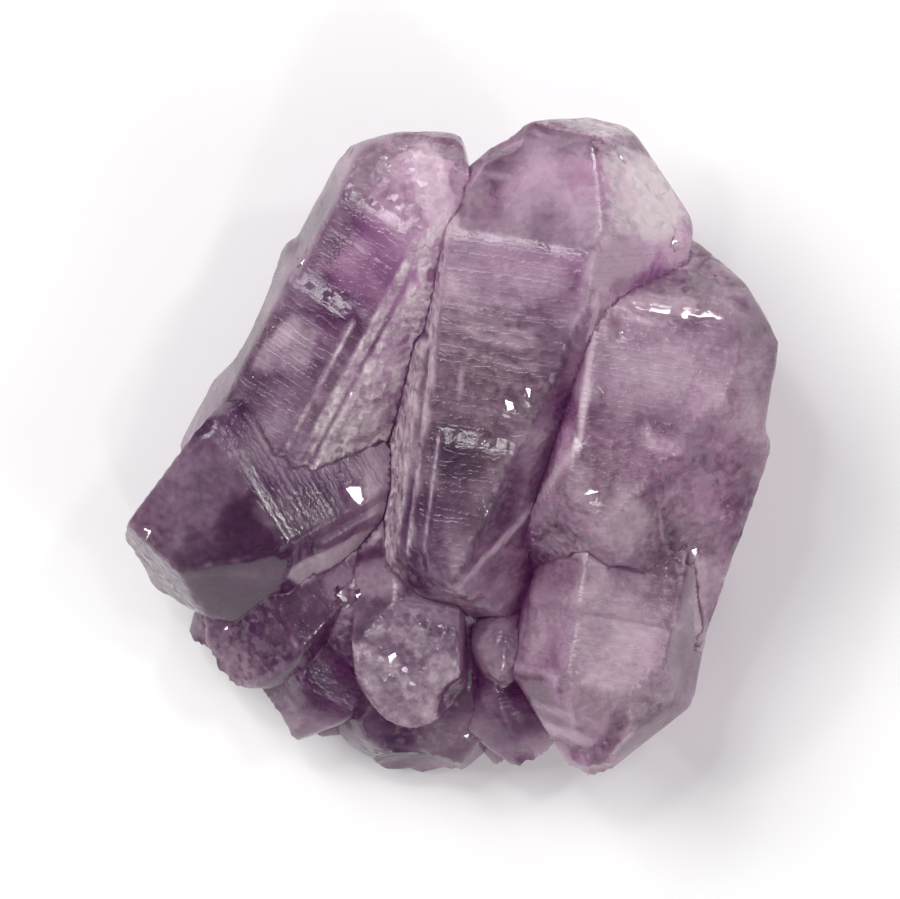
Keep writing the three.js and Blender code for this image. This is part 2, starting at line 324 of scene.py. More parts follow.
def relief(point, own, kind, face, seed, root):
    """Depth of marks: bands across the axis on sides, terraces round a centre on tips, ripples on breaks."""
    sway = noise(point / 3.1, seed)
    across = own[:, 2] + 0.5 * sway + 0.25 * noise(point / 1.1, seed + 1)
    (deep, wide), (shallow, narrow) = LINES
    lines = deep * bands(across / wide + 37 * face, seed)
    lines = lines + shallow * bands(across / narrow + 11 * face, seed + 2)
    centre = np.linalg.norm(own - TERRACE_CENTRE, axis=1) + 1.3 * sway
    terraces = TERRACE_DEPTH * bands(centre / TERRACE_WIDTH, seed + 3)
    terraces = terraces + TERRACE_GRAIN * rough(point / 0.8, seed)
    blow = np.stack([13 * np.sin(face + 1), 13 * np.cos(face * 2), np.full(len(face), 9)], -1)
    ring = np.linalg.norm(point - blow, axis=1) + 1.1 * sway
    waves = 0.5 + 0.5 * np.sin(2 * np.pi * ring / RIPPLE_WIDTH)
    ripples = RIPPLE_DEPTH * waves * noise(point / 2.6, seed + 4)
    ripples = ripples + UNEVEN_DEPTH * rough(point / 1.9, seed + 5)
    if root:
        ripples = ripples + ROOT_DEPTH * rough(point / 1.5, seed + 6) ** 2
    waviness = WAVE_DEPTH * noise(point / 4.3, seed + 7)
    return np.select([kind == PRISM, kind == TIP], [lines, terraces], ripples) + waviness


# %% [markdown]
# ## Chips
# A blow takes a shell-shaped flake off quartz and leaves a shallow bowl with ripples around the point of
# impact. Large chips come from the table. Small nicks sit along the edges, because edges are what gets hit.
# Each bowl is part of a ball, so where a look enters the ball before it meets the face, the ball's wall is
# the surface.

# %% Chips cut into a body
NICKS_PER_MM = 4  # small chips for each millimetre of a crystal's reach
NICK_SMALLEST, NICK_RANGE = 0.5, 1.1  # millimetres of radius
BOWL_RIPPLE = 0.005  # height of the ripples, as a share of the bowl's radius


def bowl(at, out, radius, depth):
    """A chip's ball, with its middle outside the stone, and the point on its rim where the blow fell."""
    aside = np.cross(out, (0.6, 0.0, 0.8))
    return at + out * (radius - depth), radius, at + aside * np.sqrt(2 * radius * depth)


def nicks(point, edge, middle, count, rng):
    """Small bowls of 0.5 to 1.6 mm radius on random points near an edge, facing away from the middle."""
    candidates = np.flatnonzero(edge > 0.4)
    for k in rng.choice(candidates, min(count, len(candidates)), replace=False):
        radius = NICK_SMALLEST + NICK_RANGE * rng.random() ** 2
        out = point[k] - middle
        out = out / np.linalg.norm(out) + 0.5 * (rng.random(3) - 0.5)
        yield bowl(point[k], out / np.linalg.norm(out), radius, radius * (0.10 + 0.12 * rng.random()))


def cut_bowls(look, middle, way, bowls):
    """Where look enters a ball before the surface, the way is shortened, less ripples around the blow."""
    fresh = np.zeros(len(way))
    for centre, radius, blow in bowls:
        to_centre = centre - middle
        if np.linalg.norm(to_centre) < radius:
            continue
        ahead = look @ to_centre
        inside = ahead**2 - (to_centre @ to_centre - radius**2)
        enter = ahead - np.sqrt(np.maximum(inside, 0))
        hit = (inside > 0) & (ahead > 0) & (enter < way)
        far = np.linalg.norm(middle + look[hit] * enter[hit, None] - blow, axis=1)
        ripple = BOWL_RIPPLE * radius * (1 + np.sin(2 * np.pi * far / (0.35 + 0.12 * radius)))
        way[hit] = enter[hit] - ripple
        fresh[hit] = 1
    return way, fresh


# %% [markdown]
# ## Flats that catch the light
# The photo shows white pinpoints on ridges and in hollows. Each is a small flat place that happens to mirror
# a lamp: its normal lies halfway between the way to the lamp and the way to the eye. The flats below are put
# where the pinpoints are, on the highest surface there. Each is turned to the small lamp that asks for the
# least tilt from the faces around it, because a strongly tilted flat would only be a notch.

# %% Flats turned to the lamps
EYE_HEIGHT, LAMP_DISTANCE = 330.0, 500.0  # millimetres
SMALL_LAMPS = ((120, 68), (30, 60), (174, 50), (285, 62), (87, 33), (330, 40))  # azimuth and climb
FLAT_DEPTH, FLAT_REACH = 0.07, 0.5  # how deep a flat is cut, and how far from its place the surface may lie
flats = [  # x, y, half the width, and for a long one the x, y run to its other end
    (-4.5, 2.0, 0.4), (-4.1, -1.75, 0.6), (-1.65, -0.1, 0.3), (-4.6, -6.2, 0.4), (1.6, -2.4, 0.45),
    (5.7, -1.8, 0.45), (10.3, -4.6, 0.4), (9.6, 9.0, 0.4), (7.1, 12.6, 0.3), (-13.2, -3.6, 0.35),
    (-10.0, -7.7, 0.4), (-9.0, 5.4, 0.3), (2.2, 1.6, 0.35), (3.2, 2.2, 0.35), (10.6, -8.4, 0.35),
    (0.6, -12.6, 0.3), (-2.6, -9.0, 0.3), (-3.7, 3.4, 0.3), (-1.8, 6.9, 0.35), (6.9, 5.2, 0.3),
    (6.0, 2.6, 0.3), (5.2, 0.6, 0.3), (-6.4, 8.2, 0.3), (6.4, -12.8, 0.3),
    (7.7, 6.1, 0.3, 1.9, -0.25), (9.6, 5.85, 0.3, 1.9, -0.25),
]


def top_of(x, y):
    """Height and normal of the stone at x, y: over each body there, the lowest of its planes that face up."""
    best, facing = 0.0, np.array([0.0, 0.0, 1.0])
    for normals, distances, _ in solids:
        steep = np.where(np.abs(normals[:, 2]) < 1e-6, 1e-6, normals[:, 2])
        level = (distances - normals[:, 0] * x - normals[:, 1] * y) / steep
        k = np.where(steep > 0, level, np.inf).argmin()
        if level[k] > max(best, level[steep < 0].max()):
            best, facing = level[k], normals[k]
    return best, facing


def flat_at(x, y, half, run_x=0.0, run_y=0.0):
    """Middle, normal, half width, run. The normal is halfway between the ways to a small lamp and the eye."""
    x, y = x + run_x / 2, y + run_y / 2
    height, _ = top_of(x, y)
    facing = sum(top_of(x + dx, y + dy)[1] for dx in (-0.3, 0.3) for dy in (-0.3, 0.3))
    at = np.array([x, y, height])
    ways = np.array([heading(*lamp) * LAMP_DISTANCE for lamp in SMALL_LAMPS] + [(0, 0, EYE_HEIGHT)]) - at
    ways /= np.linalg.norm(ways, axis=1)[:, None]
    halfway = ways[:-1] + ways[-1]
    halfway /= np.linalg.norm(halfway, axis=1)[:, None]
    out = halfway[(halfway @ facing).argmax()]
    return at, out, half, np.array([run_x, run_y, -(out[0] * run_x + out[1] * run_y) / out[2]])


def cut_flats(look, middle, way, placed):
    """Round the surface point nearest to each flat's middle, and along its run, the way ends a bit deeper."""
    cut = np.zeros(len(way))
    for at, out, half, run in placed:
        point = middle + look * way[:, None]
        gap = np.linalg.norm(point - at, axis=1)
        near = point[gap.argmin()]
        if gap.min() > FLAT_REACH:
            continue
        part = np.clip((point - near) @ run / max(run @ run, 1e-9), -0.5, 0.5)[:, None]
        uneven = half * (0.7 + 0.6 * noise(point / 0.25, 8))
        hit = (np.linalg.norm(point - near - part * run, axis=1) < uneven) & (look @ out > 0.1)
        level = ((near - middle) @ out - FLAT_DEPTH) / np.maximum(look @ out, 0.1)
        way = np.where(hit, np.minimum(way, level), way)
        cut = np.maximum(cut, hit)
    return way, cut


large_bowls = [bowl(np.array(at), heading(azimuth, climb), *size) for at, azimuth, climb, *size in chips]
placed_flats = [flat_at(*flat) for flat in flats]
print(len(placed_flats), "flats, the lowest at", round(min(at[2] for at, *_ in placed_flats), 1), "mm")

# %% [markdown]
# ## Milky and clear
# Haze is everything that keeps light from passing straight in: bruised edges, etched faces, the crumbly root,
# cloudy patches, thin milky bands where growth trapped tiny bubbles, and healed cracks, which are wavy sheets
# through the crystal. Each point gets the largest of these, from 0 for clear to 1 for white.

# %% How milky the stone is at each point
CRACKS_PER_CRYSTAL, CRACK_HALF_WIDTH, CRACK_HAZE = 5, 0.12, 0.35


def healed_cracks(point, middle, reach, rng):
    """Falls from 1 on each of a few wavy planes through the crystal to 0 beside it, in broken stretches."""
    wavy = point + 0.5 * np.stack([noise(point / 1.7, k) for k in (2, 5, 8)], -1)
    total = np.zeros(len(point))
    for _ in range(CRACKS_PER_CRYSTAL):
        normal = heading(360 * rng.random(), 70 * rng.random() - 10)
        away = np.abs((wavy - middle) @ normal - reach * (1.4 * rng.random() - 0.7))
        stretch = smooth(noise(point / 1.3, 9), 0.45, 0.6)
        total = np.maximum(total, smooth(away, CRACK_HALF_WIDTH, 0.02) * stretch)
    return total


def milkiness(point, own, edge, etched, crumbly, cracks, banded, seed):
    """The largest of bruise, etching, crumbling, clouds, bands across the axis and healed cracks."""
    scuffs = smooth(rough(point / 0.7, 1), 0.42, 0.58)
    bruise = edge * smooth(noise(point / 2.3, 4), 0.3, 0.6) * (0.2 + 0.4 * scuffs)
    clouds = 0.08 + 0.42 * smooth(rough(point / 3.6, 3), 0.42, 0.7)
    across = (own[:, 2] + 0.8 * noise(point / 2.2, seed))[:, None] / 0.5
    milk = smooth(rough(across * (1, 0, 0), seed + 5), 0.5, 0.8) * smooth(noise(point / 2.4, seed), 0.35, 0.6)
    return np.max([bruise, etched * (0.7 + 0.3 * scuffs), crumbly * (0.25 + 0.4 * scuffs),
                   clouds, banded * milk, CRACK_HAZE * cracks], axis=0)


# %% [markdown]
# ## Blotches, partly painted highlight and shade
# Some places differ from the rest of their crystal: a frosted patch, a bruise along a contact line, or a pool
# of deeper purple. Each is a stroke between two places seen from above, with a radius, and it ends in an
# uneven rim. It also fades out low on the stone and where a face turns down, because the photo shows neither.
# Some thin frost strokes along edges are painted highlights, and some dark strokes are painted shade.

# %% Frosted and dark strokes, some of them painted highlights and shade
# on some strokes the frost is a painted highlight and the darker purple is painted shade
frost_highlight_and_shade_strokes = [  # from x, y to x, y, radius, frost, darker purple
    (8.2, 11.4, 8.6, 9.9, 1.3, 1.0, 0.0), (9.3, 8.9, 9.6, 8.2, 0.8, 0.6, 0.0),
    (6.6, 8.6, 6.3, 7.0, 0.5, 0.6, 0.0), (-6.8, 5.3, -8.2, 3.7, 0.45, 0.6, 0.0),
    (-8.0, 3.6, -6.3, 4.1, 0.4, 0.5, 0.0), (5.8, -7.2, 7.8, -9.2, 2.2, 0.42, 0.0),
    (6.0, 6.4, 5.3, 0.4, 0.18, 0.7, -0.3), (5.3, 0.4, 3.2, -2.6, 0.18, 0.7, -0.3),
    (3.2, -2.6, 0.2, -5.8, 0.17, 0.65, -0.3), (-11.0, -2.2, -9.2, 0.0, 1.5, 0.3, -0.3),
    (-0.4, -0.8, -0.6, -4.2, 1.9, 0.0, 0.6), (1.6, 6.6, 1.9, 2.6, 1.6, 0.0, -0.25),
    (-2.8, 8.0, -2.4, 10.0, 1.4, 0.0, 0.25), (-1.3, 12.4, -0.6, 9.9, 0.9, 0.6, 0.0),
    (-1.3, 8.0, -1.4, 6.2, 0.2, 0.8, -0.2), (-3.4, -3.6, -6.6, -5.3, 0.45, 0.8, -0.4),
    (-6.6, -0.6, -5.2, -1.6, 1.4, 0.0, 0.3), (10.5, -4.8, 10.6, -8.4, 0.35, 0.65, 0.0),
    (7.8, 8.3, 6.2, 7.7, 0.9, 0.6, -0.2), (5.9, 6.4, 5.5, 2.6, 0.8, 0.35, -0.3),
    (-3.1, 0.6, -3.0, -2.8, 0.9, 0.6, -0.3), (4.0, 0.4, 3.4, -2.4, 1.0, 0.35, -0.3),
    (-4.4, 6.6, -6.4, 6.2, 1.2, 0.0, 0.45), (-4.9, -5.6, -2.9, -5.5, 0.9, 0.4, -0.3),
    (-9.6, 1.6, -10.0, 1.0, 1.3, 0.0, 0.5), (6.2, 6.3, 9.8, 6.0, 0.5, 0.4, -0.2),
    (10.6, -3.0, 10.8, -4.4, 1.2, 0.2, -0.4), (7.4, 0.2, 7.2, -1.0, 1.1, 0.1, -0.35),
    (0.2, 12.0, 0.6, 11.0, 1.0, 0.3, -0.2), (5.6, -10.2, 5.8, -11.2, 1.1, 0.3, -0.3),
    (-1.7, -2.6, -1.2, -5.0, 1.2, 0.0, 0.7), (-6.5, 5.0, -6.6, 4.2, 0.9, 0.45, -0.3),
    (5.4, 10.6, 5.8, 9.2, 0.9, 0.4, -0.3), (1.4, 4.9, 4.0, 4.6, 1.2, 0.1, -0.35),
    (0.2, 8.3, 0.7, 7.8, 1.0, 0.0, 0.3), (-4.9, 10.2, -4.6, 9.2, 1.0, 0.0, 0.35),
    (7.3, 12.0, 7.4, 9.8, 1.1, 0.8, 0.0),
]
BLOTCH_LEVELS = 5, 7  # millimetres of height between which the strokes fade in
BLOTCH_SLOPES = -0.05, 0.2  # the same for the upward part of the surface's normal


def stroke_frost_highlight_and_shade(point, up):
    """Frost and painted highlight, purple and painted shade: by the plan distance to each stroke, in radii."""
    frost, shade = np.zeros(len(point)), np.zeros(len(point))
    uneven = 0.7 * (rough(point / 0.8, 10) - 0.5)
    seen = smooth(point[:, 2], *BLOTCH_LEVELS) * smooth(up, *BLOTCH_SLOPES)
    for x0, y0, x1, y1, radius, white, purple_and_shade in frost_highlight_and_shade_strokes:
        start, whole = np.array([x0, y0]), np.array([x1 - x0, y1 - y0])
        part = np.clip((point[:, :2] - start) @ whole / (whole @ whole), 0, 1)
        away = np.linalg.norm(point[:, :2] - start - part[:, None] * whole, axis=1) / radius
        near = seen * smooth(away + uneven, 1.2, 0.6)
        frost = np.maximum(frost, white * near)
        shade = shade + purple_and_shade * near
    return frost, shade


print(len(frost_highlight_and_shade_strokes), "strokes")

# %% [markdown]
# ## From numbers to a closed mesh
# The two parameters of every body are the angles of a look from its middle: down from the tip, and round the
# axis. A crystal is long, so the looks are spread as on a stretched ball to keep the steps on its surface
# even. The first and the last row are each closed by a fan around one more point, the pole.

# %% Looks and faces of a grid
STEP, ROOT_STEP = 0.175, 0.26  # millimetres between neighbouring points, on a crystal and on the root
STRETCH = 0.55  # how far the ball is stretched for each unit of length over reach
STEEPEST = 0.4  # the least share of a mark's depth that counts along a look that meets a face at a slant


def looks(axes, stretch, rows, columns):
    """Directions at t from the axis and f round it: (sin t cos f, sin t sin f, stretch cos t), made unit."""
    t = np.pi * (np.arange(rows) + 0.5) / rows
    f = 2 * np.pi * np.arange(columns) / columns
    t, f = np.meshgrid(t, f, indexing="ij")
    ball = np.stack([np.sin(t) * np.cos(f), np.sin(t) * np.sin(f), stretch * np.cos(t)], -1).reshape(-1, 3)
    ball = np.vstack([ball, (0, 0, 1), (0, 0, -1)]) @ axes
    return ball / np.linalg.norm(ball, axis=1)[:, None]


def grid_faces(rows, columns):
    """Four-sided faces between neighbouring rows and columns, and a fan of three-sided ones at each pole."""
    i = np.arange(rows * columns).reshape(rows, columns)
    turn = np.roll(i, -1, 1)
    quads = np.stack([i[:-1], i[1:], turn[1:], turn[:-1]], -1).reshape(-1, 4)
    top = np.stack([np.full(columns, rows * columns), i[0], turn[0]], -1)
    bottom = np.stack([np.full(columns, rows * columns + 1), turn[-1], i[-1]], -1)
    return quads, np.vstack([top, bottom])


# %% A mesh from arrays
def put_mesh(name, points, quads, triangles, attributes):
    """A mesh object from arrays: all faces' corners in one run, and a float per point for each attribute."""
    mesh = bpy.data.meshes.new(name)
    mesh.vertices.add(len(points))
    mesh.vertices.foreach_set("co", np.ravel(points).astype(np.float32))
    corners = np.concatenate([quads.ravel(), triangles.ravel()]).astype(np.int32)
    sizes = np.concatenate([np.full(len(quads), 4), np.full(len(triangles), 3)]).astype(np.int32)
    mesh.loops.add(len(corners))
    mesh.loops.foreach_set("vertex_index", corners)
    mesh.polygons.add(len(sizes))
    mesh.polygons.foreach_set("loop_start", np.concatenate([[0], np.cumsum(sizes)[:-1]]).astype(np.int32))
    mesh.update(calc_edges=True)
    for key, values in attributes.items():
        mesh.attributes.new(key, "FLOAT", "POINT").data.foreach_set("value", values.astype(np.float32))
    piece = bpy.data.objects.new(name, mesh)
    bpy.context.scene.collection.objects.link(piece)
    return piece


# %% [markdown]
# ## Shape and skin of a body
# First comes the shape. Relief, chips and flats each shorten the way from the middle to the surface. What
# lies at each point is kept beside it, because the skin follows from that: how milky, sugary, matt and purple
# it is, and how much painted shade and highlight it carries.

# %% The shape of one body
def shape_of(layers, axes, at, length, reach, seed, root, rng):
    """Grid size, middle, and what is at each point: the farthest layer, less its relief, chips and flats."""
    layers = list(layers)
    normals, distances, kinds = layers[0]
    middle = ROOT_MIDDLE if root else middle_of(normals, distances, np.array(at, float), axes, length, reach)
    stretch = max(1.0, STRETCH * length / reach)
    step = ROOT_STEP if root else STEP
    rows = int(np.pi * reach * (1 + stretch) / 2 / step) + 8
    columns = int(2 * np.pi * reach / step) + 8
    look = looks(axes, stretch, rows, columns)
    way, face, edge = first_face(look, middle, normals, distances, reach)
    for other_normals, other_distances, _ in layers[1:]:
        if (other_distances - other_normals @ middle).min() <= 0:
            continue
        other = first_face(look, middle, other_normals, other_distances, reach)
        wins = other[0] > way
        way, face, edge = (np.where(wins, new, old) for new, old in zip(other, (way, face, edge)))
    point = middle + look * way[:, None]
    lean = np.maximum((look * normals[face]).sum(1), STEEPEST)
    own = (point - np.array(at)) @ axes.T
    way = way - relief(point, own, kinds[face], face, seed, root) / lean
    bowls = large_bowls + list(nicks(point, edge, middle, int(NICKS_PER_MM * reach), rng))
    way, fresh = cut_bowls(look, middle, way, bowls)
    way, flat = cut_flats(look, middle, way, placed_flats)
    point = middle + look * way[:, None]
    point[:, 2] = np.maximum(point[:, 2], 0)
    here = dict(point=point, own=own, face=face, kind=kinds[face], up=normals[face][:, 2], edge=edge,
                fresh=fresh, flat=flat)
    return (rows, columns), middle, here


# %% The skin of one body
PALE_TIP = 0.85  # how much of a crystal's own purple is gone at its tip
ZONE_WIDTH, ZONE_STRENGTH = 2.6, 0.5  # millimetres across a patch of deeper or paler purple, and its strength
EDGE_HAZE, FRESH_CLEARS, CRUMBLE, PITS = 1.8, 0.4, 0.3, 0.4
SUGAR_GLOSS, FLAT_GLOSS = 0.65, 0.8  # how much of the blur goes where the skin is sugary or a flat


def skin_of(point, own, face, kind, up, edge, fresh, flat, middle, length, reach, seed, root, rng,
            etched=(), dim=(), deep=0.8, milk=0.38):
    """What the material reads at each point: each value is a sum or the largest of the causes named here."""
    eaten, painted_plane_shade = (
        np.array([dict(table).get(k, 0.0) for k in range(face.max() + 1)])[face] for table in (etched, dim)
    )
    crumbly = (kind == CUT) * (1 - fresh) * (1.0 if root else CRUMBLE)
    sugar = np.maximum(eaten, crumbly) * (1 - flat)
    cracks = healed_cracks(point, middle, reach, rng)
    haze = milkiness(point, own, EDGE_HAZE * edge, eaten, crumbly, cracks, milk, seed)
    frost_and_highlight, purple_and_shade = stroke_frost_highlight_and_shade(point, up)
    haze = np.maximum(haze * (1 - FRESH_CLEARS * fresh), frost_and_highlight)
    toward_tip = (1 - root) * smooth(own[:, 2] / (length + reach), 0.55, 1.0)
    zoned = ZONE_STRENGTH * (smooth(rough(point / ZONE_WIDTH, 7), 0.38, 0.62) - 0.5)
    # own purple, paler to the tip and in zones, and painted shade from deep, dim planes and dark strokes
    shade = deep * (1 - PALE_TIP * toward_tip) + zoned + painted_plane_shade + purple_and_shade
    matt = haze * (1 - SUGAR_GLOSS * sugar) * (1 - FLAT_GLOSS * flat)
    return dict(axial=own[:, 2], side=(kind == PRISM) * (1 - flat), haze=haze, sugar=sugar,
                pits=PITS * (1 - flat), matt=matt, shade=shade)


# %% All bodies
def make_body(name, layers, axes, at, length, reach, seed, root=False, **own_looks):
    """One body of the stone as a mesh object, moved to the frame's origin and turned to metres."""
    rng = np.random.default_rng(100 + seed)
    size, middle, here = shape_of(layers, axes, at, length, reach, seed, root, rng)
    same = dict(middle=middle, length=length, reach=reach, seed=seed, root=root, rng=rng)
    skin = skin_of(**here, **same, **own_looks)
    return put_mesh(name, (here["point"] - OUTLINE_MIDDLE) * MM, *grid_faces(*size), skin)


def crystal_body(name, crystal, seed):
    """The body of one crystal of the table."""
    axes = own_axes(crystal["azimuth"], crystal["climb"])
    own_looks = {k: v for k, v in crystal.items() if k in LOOKS}
    place = crystal["at"], crystal["length"], crystal["reach"]
    return make_body(name, layers_of(crystal), axes, *place, seed, **own_looks)


bodies = [make_body("root", [root_planes()], np.eye(3), ROOT_MIDDLE, 1, ROOT_HALF[:2].mean(), 0, root=True)]
bodies += [crystal_body(name, crystal, k + 1) for k, (name, crystal) in enumerate(crystals.items())]
for k, (at, azimuth, climb, roll, reach, length) in enumerate(buds):
    bud = dict(at=at, azimuth=azimuth, climb=climb, roll=roll, reach=reach, length=length)
    bodies.append(crystal_body(f"bud_{k}", bud, 20 + k))
print(len(bodies), "bodies,", sum(len(b.data.polygons) for b in bodies), "faces before they are joined")

# %% [markdown]
# ## One stone
# Crystals that grew into each other have no wall between them, and light must pass from one to the next. So
# the bodies are joined by a Boolean union, which removes every hidden wall. The Manifold solver is quick,
# keeps the mesh closed, and carries the float attributes over to the result.

# %% Join the bodies
def union(whole, others):
    """A new mesh of all bodies joined; the bodies themselves are removed afterwards."""
    for other in others:
        step = whole.modifiers.new(other.name, "BOOLEAN")
        step.operation = "UNION"
        step.solver = "MANIFOLD"
        step.object = other
    joined = bpy.data.meshes.new_from_object(whole.evaluated_get(bpy.context.evaluated_depsgraph_get()))
    for body in [whole, *others]:
        bpy.data.objects.remove(body)
    return joined


# %% [markdown]
# ## Painted shade in the grooves
# Between two crystals little light gets in and it is swallowed on its way out, so the colour there is
# darkened as painted shade. How deep a point lies in a groove is the share of stone in a small box around
# it: half on a flat face, more in a groove. The share is counted on a lattice of cells, each of which is
# stone or air, and averaged with running sums.

# %% How much stone lies around a point
CELL, BOX = 0.35, 4  # millimetres, and how many cells the box reaches to each side
GROOVE_START, GROOVE_FULL = 0.60, 0.85  # shares of stone where the darkening starts and is complete
SHADE_LEAST, SHADE_MOST = -0.3, 1.15


def stone_lattice():
    """The lattice's first corner, and 1 for each cell that lies behind all planes of some body, else 0."""
    first = np.array([-17.0, -17.0, -3.0])
    count = np.array([98, 98, 62])
    cells = first + CELL * np.stack(np.meshgrid(*map(np.arange, count), indexing="ij"), -1).reshape(-1, 3)
    filled = np.zeros(len(cells), bool)
    for normals, distances, _ in solids:
        filled |= (cells @ normals.T <= distances).all(1)
    return first, filled.reshape(count).astype(float)


def box_mean(values, half):
    """Mean over 2 half + 1 cells along each axis, as the difference of two running sums."""
    for axis in range(3):
        padding = [(half + 1, half) if k == axis else (0, 0) for k in range(3)]
        sums = np.moveaxis(np.cumsum(np.pad(values, padding), axis), axis, 0)
        values = np.moveaxis((sums[2 * half + 1 :] - sums[: -2 * half - 1]) / (2 * half + 1), 0, axis)
    return values


def paint_shade_in_grooves(mesh):
    """Keeps the mesh's shade in range, and paints more shade where the share of stone around a point is high.
    """
    first, filled = stone_lattice()
    share = box_mean(filled, BOX)
    place_of = np.empty(len(mesh.vertices) * 3, np.float32)
    mesh.vertices.foreach_get("co", place_of)
    cell = np.rint((place_of.reshape(-1, 3) / MM + OUTLINE_MIDDLE - first) / CELL).astype(int)
    groove = smooth(share[tuple(cell.T)], GROOVE_START, GROOVE_FULL)
    shade = np.empty(len(mesh.vertices), np.float32)
    mesh.attributes["shade"].data.foreach_get("value", shade)
    shade = np.clip(shade, SHADE_LEAST, SHADE_MOST)
    shade = shade + (SHADE_MOST - shade) * groove
    mesh.attributes["shade"].data.foreach_set("value", shade.astype(np.float32))
    print("points in a groove:", int((groove > 0.5).sum()), "of", len(groove))


CREASE = np.radians(32)  # edges bent more than this stay sharp in the shading
stone_mesh = union(bodies[0], bodies[1:])
stone_mesh.name = "amethyst"
paint_shade_in_grooves(stone_mesh)
stone_mesh.shade_smooth()
stone_mesh.set_sharp_from_angle(angle=CREASE)
stone = bpy.data.objects.new("amethyst", stone_mesh)
bpy.context.scene.collection.objects.link(stone)
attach(stone, "root")
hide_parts("amethyst_cluster")
stone_mesh.calc_loop_triangles()
print("the stone has", len(stone_mesh.loop_triangles), "triangles")

# %% [markdown]
# ## Colours and nodes
# Colours are written as the hex values a picture editor shows, which are sRGB, and turned to the linear
# values that the shader works in. One small function adds a node, sets it and links it, and gives back its
# output.

# %% Colour and node helpers
PER_MM = 1000.0  # a pattern scale of PER_MM / s gives lumps s millimetres wide


def colour(hex_value):
    """sRGB hex to linear RGBA: c / 12.92 below 0.04045, and ((c + 0.055) / 1.055) to the power 2.4 above."""
    c = np.array([int(hex_value[i : i + 2], 16) for i in (1, 3, 5)]) / 255
    linear = np.where(c < 0.04045, c / 12.92, ((c + 0.055) / 1.055) ** 2.4)
    return (*linear.tolist(), 1.0)


def add(tree, kind, *values, out=None, **settings):
    """Adds a node: settings name its properties or sockets, values fill the sockets in use in their order."""
    node = tree.nodes.new("ShaderNode" + kind)
    for key in [k for k in settings if hasattr(node, k)]:
        setattr(node, key, settings.pop(key))
    fill = list(zip([s for s in node.inputs if s.enabled], values))
    fill += [(node.inputs[key.replace("_", " ")], value) for key, value in settings.items()]
    for socket, value in fill:
        if isinstance(value, bpy.types.NodeSocket):
            tree.links.new(value, socket)
        else:
            socket.default_value = value
    return node.outputs[out] if out else next((s for s in node.outputs if s.enabled), None)


def new_material(name, piece):
    """A piece's only material, with an empty node tree."""
    material = bpy.data.materials.new(name)
    material.use_nodes = True
    material.node_tree.nodes.clear()
    piece.data.materials.clear()
    piece.data.materials.append(material)
    return material.node_tree


# %% [markdown]
# ## Amethyst
# Amethyst is clear quartz, refractive index 1.544, whose purple comes from the body and not the skin, so the
# colour is absorption: light loses more green than red or blue for each millimetre it travels. The skin
# decides how clearly the eye looks in. Growth faces and fresh chips are glassy, worn edges and etched faces
# scatter.

# %% What the nodes know about a place on the stone
amethyst = new_material("amethyst quartz, natural faces", stone)
place = add(amethyst, "TexCoord", out="Object")
axial, side, pits, haze, sugar, matt, shade = (
    add(amethyst, "Attribute", out="Fac", attribute_name=name)
    for name in ("axial", "side", "pits", "haze", "sugar", "matt", "shade")
)
GRAIN_WIDTH = FACET_WIDTH = 0.3  # millimetres
grain = add(amethyst, "TexNoise", place, Scale=PER_MM / GRAIN_WIDTH, Detail=2.0)

# %% [markdown]
# ## Sugar
# An etched or crumbly face is not dull. It is a crowd of tiny flat facets, each glossy, each tilted its own
# way, so single ones flash when they happen to mirror a lamp. A Voronoi pattern splits the face into cells,
# and the random colour of a cell tilts the normal of the whole cell by the same amount.

# %% Tilted facets
STRONGEST_TILT = 0.9
facets = add(amethyst, "TexVoronoi", place, Scale=PER_MM / FACET_WIDTH, out="Color")
strength = add(amethyst, "Math", sugar, STRONGEST_TILT, operation="MULTIPLY")
tilt = add(amethyst, "VectorMath", facets, (0.5, 0.5, 0.5), operation="SUBTRACT")
tilt = add(amethyst, "VectorMath", tilt, operation="SCALE", Scale=strength)
tilted = add(amethyst, "VectorMath", add(amethyst, "NewGeometry", out="Normal"), tilt)
tilted = add(amethyst, "VectorMath", tilted, operation="NORMALIZE")

# %% [markdown]
# ## Fine lines and pits
# The sides of a quartz crystal carry lines straight across, a tenth of a millimetre apart and up. The coarse
# ones are in the mesh. The fine ones and a grain of tiny pits are a bump, because the mesh can't hold them.

# %% Fine relief
LINES_PER_MM, LINE_SWAY, BUMP_DEPTH = 6.0, 0.4, 0.07 * MM
wave = add(amethyst, "Math", grain, LINE_SWAY, axial, operation="MULTIPLY_ADD")
lines = add(amethyst, "TexNoise", W=wave, noise_dimensions="1D", Scale=LINES_PER_MM, Detail=2.0)
height = add(amethyst, "Math", lines, side, operation="MULTIPLY")
height = add(amethyst, "Math", grain, pits, height, operation="MULTIPLY_ADD")
relieved = add(amethyst, "Bump", Height=height, Strength=0.6, Distance=BUMP_DEPTH, Normal=tilted)

# %% [markdown]
# ## Skin and body
# The haze value sets how much light passes the skin and how far its tint turns to frosty white. The matt
# value sets how much the skin blurs. The body behind it only absorbs. Both absorption numbers sit on their
# own sockets, because a linked one would not survive an export.

# %% Skin and body
speckle = add(amethyst, "Math", grain, 0.5, operation="SUBTRACT")
contrast = add(amethyst, "MapRange", sugar, 0.0, 1.0, 0.4, 0.7)
speckled = add(amethyst, "Math", speckle, contrast, haze, operation="MULTIPLY_ADD", use_clamp=True)
PALE, DEEP_PURPLE_AND_SHADE, FROST, BODY = (colour(c) for c in ("#eecde1", "#8d5b8b", "#ecdfe1", "#d8a3d4"))
CLEAR_BLUR, MATT_BLUR = 0.08, 0.5
CLEAR_PASSES, FROSTED_PASSES = 0.95, 0.3  # share of light that the skin lets in
